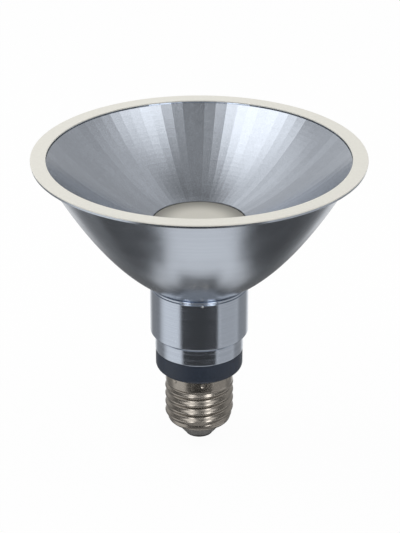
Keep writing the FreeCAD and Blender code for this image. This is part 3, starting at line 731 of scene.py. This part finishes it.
def buildCap():
    low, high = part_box("cap_shell")
    foot, top = low.z / mm, high.z / mm
    lipTop = foot + cap["lipRadius"]
    lipCentre = cap["root"] - cap["lipRadius"]
    skirtFoot = top - cap["skirtHeight"]
    innerRadius = cap["root"] - cap["wall"]
    skirtInner = cap["skirtRadius"] - cap["wall"]
    lip = arcPoints((lipCentre, lipTop), cap["lipRadius"], -90, 0, 10)
    outline = [(cap["mouthRadius"], foot)] + lip
    shares = [0.0] * len(outline)
    rows = round((top - lipTop) / cap["rowStep"])
    for i in range(1, rows + 1):
        z = lipTop + (top - lipTop) * i / rows
        toSkirt = smoothStep((z - skirtFoot + cap["fade"]) / cap["fade"])
        fromLip = smoothStep((z - lipTop) / cap["fade"])
        outline.append((cap["root"] * (1 - toSkirt) + cap["skirtRadius"] * toSkirt, z))
        shares.append(fromLip * (1 - toSkirt))
    inner = [
        (skirtInner, top), (skirtInner, skirtFoot + skirtInner - innerRadius), (innerRadius, skirtFoot)]
    inner += arcPoints((lipCentre, lipTop), cap["lipRadius"] - cap["wall"], 0, -90, 6)
    inner += [(cap["mouthRadius"], foot + cap["wall"]), outline[0]]
    values = {
        "Sides": cap["sides"], "Pitch": cap["pitch"] * mm, "First Crest": cap["firstCrest"] * mm,
        "Half Depth": (cap["crest"] - cap["root"]) / 2 * mm, "Dent Count": cap["dentCount"],
        "First Dent": math.radians(cap["firstDent"]),
        "Dent Reach": (cap["skirtRadius"] - cap["dentDepth"] + cap["dentBall"]) * mm,
        "Dent Height": (top - cap["dentBelowTop"]) * mm, "Dent Ball": cap["dentBall"] * mm,
        "Material": nickelPlate()}
    shares += [0.0] * len(inner)
    piece = runTree("screwCap", outline + inner, makeThreadTree(), values, 40, {"threadShare": shares})
    standFor(piece, "cap_shell")


buildCap()


# Pieces whose solids have the right form: a merged, smooth copy stands for each

def smoothCopy(name, node, material, sharpAngle=28):
    mesh = nodes[node].data.copy()
    mesh.name = name
    work = bmesh.new()
    work.from_mesh(mesh)
    bmesh.ops.remove_doubles(work, verts=work.verts, dist=2e-6)
    work.to_mesh(mesh)
    work.free()
    mesh.materials.clear()
    mesh.materials.append(material)
    piece = bpy.data.objects.new(name, mesh)
    bpy.context.collection.objects.link(piece)
    if "custom_normal" in mesh.attributes:
        mesh.attributes.remove(mesh.attributes["custom_normal"])
    tidyMesh(mesh, sharpAngle)
    standFor(piece, node)


smoothCopy("neckRing", "driver_housing", mouldedBlackPlastic())
smoothCopy("capGlass", "cap_insulator", blackGlass())
smoothCopy("tipContact", "centre_contact", tinnedBrass())


# Pieces inside the lamp: the solids stay, with a finish each

innerFinishes = {
    "mixing_cup": ("mouldedWhitePolyester", "#F1F0EA", 0.4, 0.0, 0.6),
    "led_holder": ("mouldedWhiteNylon", "#ECEAE2", 0.45, 0.0, 0.6),
    "led_chip": ("phosphorSilicone", "#E8C84A", 0.35, 0.0, 0.3),
    "led_board": ("whiteSolderMask", "#E9EAE6", 0.3, 0.0, 1.2),
    "thermal_pad": ("siliconePad", "#8E9AA6", 0.7, 0.0, 0.4),
    "heat_slug": ("castAluminium", "#B4B7BA", 0.4, 1.0, 0.8),
    "slug_screws": ("zincPlatedSteel", "#B9BBB4", 0.3, 1.0, 0.4),
    "board_screws": ("zincPlatedSteelSmall", "#BABCB6", 0.3, 1.0, 0.3),
    "housing_screws": ("blackenedSteel", "#3A3B3D", 0.4, 1.0, 0.4),
    "driver_board": ("greenSolderMask", "#1F6B43", 0.35, 0.0, 1.0),
    "transformer": ("ferriteAndTape", "#D8B23C", 0.5, 0.0, 0.8),
    "bulk_capacitor": ("blackPetSleeve", "#23262B", 0.35, 0.0, 1.0),
    "output_capacitor": ("bluePetSleeve", "#27446F", 0.35, 0.0, 1.0),
    "film_capacitor": ("epoxyDippedFilm", "#A5352B", 0.4, 0.0, 1.2),
    "choke": ("woundCopper", "#B4683A", 0.35, 1.0, 0.35),
    "bridge_rectifier": ("mouldedEpoxy", "#1E1F21", 0.5, 0.0, 0.4),
    "driver_chip": ("mouldedEpoxySmall", "#202124", 0.5, 0.0, 0.3),
    "fuse_resistor": ("flameproofLacquer", "#4F7E57", 0.5, 0.0, 0.5),
    "live_lead": ("brownSiliconeSleeve", "#6B4630", 0.5, 0.0, 0.4),
    "neutral_lead": ("blueSiliconeSleeve", "#2F5FA0", 0.5, 0.0, 0.4),
    "led_lead_negative": ("blackSiliconeSleeve", "#222326", 0.5, 0.0, 0.4),
    "led_lead_positive": ("redSiliconeSleeve", "#B02A24", 0.5, 0.0, 0.4),
}


def finishInside():
    for node, (name, colour, roughness, metallic, grain) in innerFinishes.items():
        material, tree, shader = newMaterial(name, colour, roughness, metallic)
        place = addNode(tree, "ShaderNodeTexCoord").outputs["Object"]
        addMarks(tree, shader, place, grain, 0.01, 0.06, (roughness - 0.05, roughness + 0.08))
        nodes[node].data.materials.clear()
        nodes[node].data.materials.append(material)
    print("inner pieces finished:", len(innerFinishes))


finishInside()


# Studio: pale floor, softboxes for the matt surfaces, and a surround whose boards show in metal

studio = {
    "diffuseLevel": 0.56,
    "groundLevel": 0.95,     # what metal sees below the horizon, between the boards
    "skyLevel": 0.22,        # and above it
    "horizon": (-3, 4),      # degrees over which one becomes the other
    "floorRadius": 4.0,
    "floorColour": "#F8F8F8",
    "floorGlow": 0.96,       # share of the floor that shows no shadow
}

# Turn runs from the camera's side towards +X and rise up from the horizon, both in degrees.
# Sizes are in metres. Metal doesn't show these lamps, but the panels and strips among the boards
softboxes = {
    "leftSoftbox": {"turn": -105, "rise": 52, "distance": 0.8, "size": (0.6, 0.6), "radiance": 2.0},
    "rightSoftbox": {"turn": 100, "rise": 52, "distance": 0.8, "size": (0.5, 0.6), "radiance": 1.4},
    "frontSoftbox": {"turn": 0, "rise": 50, "distance": 1.0, "size": (0.6, 0.4), "radiance": 0.6},
}

# Each board covers a span of directions: it fades in over the first two numbers and out over the last two.
# Across and along are the direction's x and y where it has gone one unit down or up.
# A later board covers the earlier ones
overhead = (24, 34, 91, 92)
downward = (-90, -89, -22, -18)
steeplyDownward = (-90, -89, -40, -34)
boards = [
    {"name": "zenith", "level": 0.33, "rise": (64, 76, 95, 100)},
    {"name": "leftBackSky", "level": 0.7, "turn": (-190, -185, -130, -95), "rise": (-5, 3, 44, 58)},
    {"name": "rightBackSky", "level": 0.52, "turn": (80, 110, 185, 190), "rise": (-5, 3, 50, 66)},
    {"name": "leftFar", "level": 0.95, "across": (-1.2, -0.85, -0.42, -0.08),
     "along": (-1.0, -0.8, 0.9, 1.4), "rise": overhead},
    {"name": "leftPanel", "level": 1.95, "across": (-1.18, -0.88, -0.4, -0.1),
     "along": (-1.2, -0.8, -0.16, 0.55), "rise": overhead},
    {"name": "rightFar", "level": 0.62, "across": (0.16, 0.44, 0.75, 1.1),
     "along": (-1.0, -0.8, 0.6, 1.1), "rise": overhead},
    {"name": "rightPanel", "level": 1.75, "across": (0.16, 0.44, 0.7, 1.1),
     "along": (-1.2, -0.8, -0.3, 0.3), "rise": overhead},
    {"name": "frontBand", "level": 0.7, "turn": (-24, -20, 20, 24), "rise": (16, 22, 34, 40)},
    {"name": "nearFloor", "level": 0.7, "across": (-0.45, -0.35, 0.35, 0.45),
     "along": (0.24, 0.36, 0.9, 1.2), "rise": downward},
    {"name": "backFloor", "level": 0.24, "along": (0.45, 0.68, 0.9, 1.45), "rise": downward},
    {"name": "archBoard", "level": 0.12, "across": (-0.18, -0.1, 0.1, 0.18),
     "along": (0.14, 0.2, 0.7, 0.9), "rise": downward},
    {"name": "archFoot", "level": 0.16, "across": (-0.24, -0.16, 0.16, 0.24),
     "along": (0.36, 0.46, 0.7, 0.9), "rise": downward},
    {"name": "footBoard", "level": 0.16, "across": (-0.5, -0.36, 0.36, 0.5),
     "along": (0.58, 0.76, 1.4, 1.85), "rise": downward},
    {"name": "leftSide", "level": 0.32, "turn": (-165, -140, -115, -85), "rise": (-40, -33, -4, 2)},
    {"name": "rightSide", "level": 0.36, "turn": (85, 112, 138, 160), "rise": (-40, -33, -4, 2)},
    {"name": "rightDim", "level": 0.55, "turn": (45, 54, 90, 110), "rise": (-42, -34, -4, 2)},
    {"name": "leftDarkFoot", "level": 0.14, "across": (-0.6, -0.45, -0.34, -0.26),
     "along": (0.05, 0.2, 0.36, 0.8), "rise": steeplyDownward},
    {"name": "leftDarkEdge", "level": 0.1, "across": (-0.62, -0.5, -0.28, -0.2),
     "along": (-0.2, -0.03, 0.1, 0.3), "rise": steeplyDownward},
    {"name": "leftDark", "level": 0.1, "across": (-1.0, -0.62, -0.4, -0.3),
     "along": (-0.4, -0.2, 0.42, 0.9), "rise": steeplyDownward},
    {"name": "rightDarkFoot", "level": 0.12, "across": (0.27, 0.38, 0.45, 0.6),
     "along": (0.05, 0.2, 0.36, 0.85), "rise": steeplyDownward},
    {"name": "rightDarkEdge", "level": 0.09, "across": (0.24, 0.33, 0.5, 0.62),
     "along": (-0.2, -0.03, 0.1, 0.3), "rise": steeplyDownward},
    {"name": "rightDark", "level": 0.09, "across": (0.3, 0.42, 0.68, 1.02),
     "along": (-0.4, -0.2, 0.5, 1.1), "rise": steeplyDownward},
    {"name": "frontFloor", "level": 0.4, "turn": (-62, -50, 50, 62), "rise": (-76, -68, -40, -34)},
    {"name": "frontBoard", "level": 0.055, "turn": (-50, -40, 41, 51), "rise": (-44, -34, -12, -4)},
    {"name": "leftStrip", "level": 3.6, "turn": (-38, -32, -24, -18), "rise": (-18, -10, 32, 42)},
    {"name": "rightStrip", "level": 4.4, "turn": (18, 24, 33, 39), "rise": (-18, -10, 32, 42)},
]


def addSeenShare(tree):
    # 1 for rays that should meet the white background: from the camera, and through metal and glass
    path = addNode(tree, "ShaderNodeLightPath")
    first = addMath(tree, "MAXIMUM", path.outputs["Is Camera Ray"], path.outputs["Is Glossy Ray"])
    both = addMath(tree, "MAXIMUM", first.outputs[0], path.outputs["Is Transmission Ray"])
    return path, both.outputs[0]


def boardCover(tree, places, board):
    cover = None
    for place in places:
        if place not in board:
            continue
        for first, last, inside, outside in ((0, 1, 0.0, 1.0), (2, 3, 1.0, 0.0)):
            edge = addNode(tree, "ShaderNodeMapRange", {
                "Value": places[place], "From Min": board[place][first], "From Max": board[place][last],
                "To Min": inside, "To Max": outside}, interpolation_type="SMOOTHSTEP").outputs[0]
            cover = edge if cover is None else addMath(tree, "MULTIPLY", cover, edge).outputs[0]
    return cover


def buildWorld():
    world = bpy.data.worlds.new("studioWorld")
    world.use_nodes = True
    world.cycles.sampling_method = "NONE"
    bpy.context.scene.world = world
    tree = world.node_tree
    tree.nodes.clear()
    path, seen = addSeenShare(tree)
    direction = addNode(tree, "ShaderNodeTexCoord").outputs["Generated"]
    axes = addNode(tree, "ShaderNodeSeparateXYZ", {0: direction}).outputs
    towards = addMath(tree, "MULTIPLY", axes["Y"], -1.0)
    turn = addMath(tree, "ARCTAN2", axes["X"], towards.outputs[0])
    rise = addMath(tree, "ARCSINE", axes["Z"])
    drop = addMath(tree, "ABSOLUTE", axes["Z"])
    places = {}
    for place, angle in (("turn", turn), ("rise", rise)):
        places[place] = addMath(tree, "DEGREES", angle.outputs[0]).outputs[0]
    for place, axis in (("across", "X"), ("along", "Y")):
        places[place] = addMath(tree, "DIVIDE", axes[axis], drop.outputs[0]).outputs[0]
    level = addNode(tree, "ShaderNodeMapRange", {
        "Value": places["rise"], "From Min": studio["horizon"][0], "From Max": studio["horizon"][1],
        "To Min": studio["groundLevel"], "To Max": studio["skyLevel"]},
        interpolation_type="SMOOTHSTEP").outputs[0]
    for board in boards:
        level = addNode(tree, "ShaderNodeMix", {
            "Factor": boardCover(tree, places, board), "A": level, "B": board["level"]},
            data_type="FLOAT").outputs[0]
    shown = addNode(tree, "ShaderNodeMix", {
        "Factor": path.outputs["Is Camera Ray"], "A": level, "B": 1.0}, data_type="FLOAT")
    lit = addNode(tree, "ShaderNodeMix", {
        "Factor": seen, "A": studio["diffuseLevel"], "B": shown.outputs[0]}, data_type="FLOAT")
    light = addNode(tree, "ShaderNodeBackground", {"Color": (1, 1, 1, 1), "Strength": lit.outputs[0]})
    addNode(tree, "ShaderNodeOutputWorld", {"Surface": light.outputs[0]})


def buildFloor():
    mesh = bpy.data.meshes.new("floor")
    work = bmesh.new()
    bmesh.ops.create_circle(work, cap_ends=True, radius=studio["floorRadius"], segments=96)
    work.to_mesh(mesh)
    work.free()
    floor = bpy.data.objects.new("floor", mesh)
    bpy.context.collection.objects.link(floor)
    material = bpy.data.materials.new("paleFloor")
    material.use_nodes = True
    tree = material.node_tree
    tree.nodes.clear()
    path, seen = addSeenShare(tree)
    matt = addNode(tree, "ShaderNodeBsdfDiffuse", {"Color": linear(studio["floorColour"])})
    glow = addNode(tree, "ShaderNodeEmission", {"Color": (1, 1, 1, 1), "Strength": 1.0})
    pale = addNode(tree, "ShaderNodeMixShader", {
        0: studio["floorGlow"], 1: matt.outputs[0], 2: glow.outputs[0]})
    shown = addNode(tree, "ShaderNodeMixShader", {0: seen, 1: matt.outputs[0], 2: pale.outputs[0]})
    addNode(tree, "ShaderNodeOutputMaterial", {"Surface": shown.outputs[0]})
    mesh.materials.append(material)
    floor.visible_glossy = False


def addSoftbox(name, box):
    data = bpy.data.lights.new(name, "AREA")
    data.shape = "RECTANGLE"
    data.size, data.size_y = box["size"]
    data.energy = box["radiance"] * math.pi * data.size * data.size_y
    lamp = bpy.data.objects.new(name, data)
    turn, rise = math.radians(box["turn"]), math.radians(box["rise"])
    away = Vector((math.sin(turn) * math.cos(rise), -math.cos(turn) * math.cos(rise), math.sin(rise)))
    lamp.location = Vector((0, 0, camera["aimHeight"])) + away * box["distance"]
    lamp.rotation_euler = away.to_track_quat("Z", "Y").to_euler()
    lamp.visible_glossy = False
    bpy.context.collection.objects.link(lamp)


buildWorld()
buildFloor()
for boxName, boxValues in softboxes.items():
    addSoftbox(boxName, boxValues)
bpy.context.scene.view_settings.view_transform = "Standard"
print("studio ready")
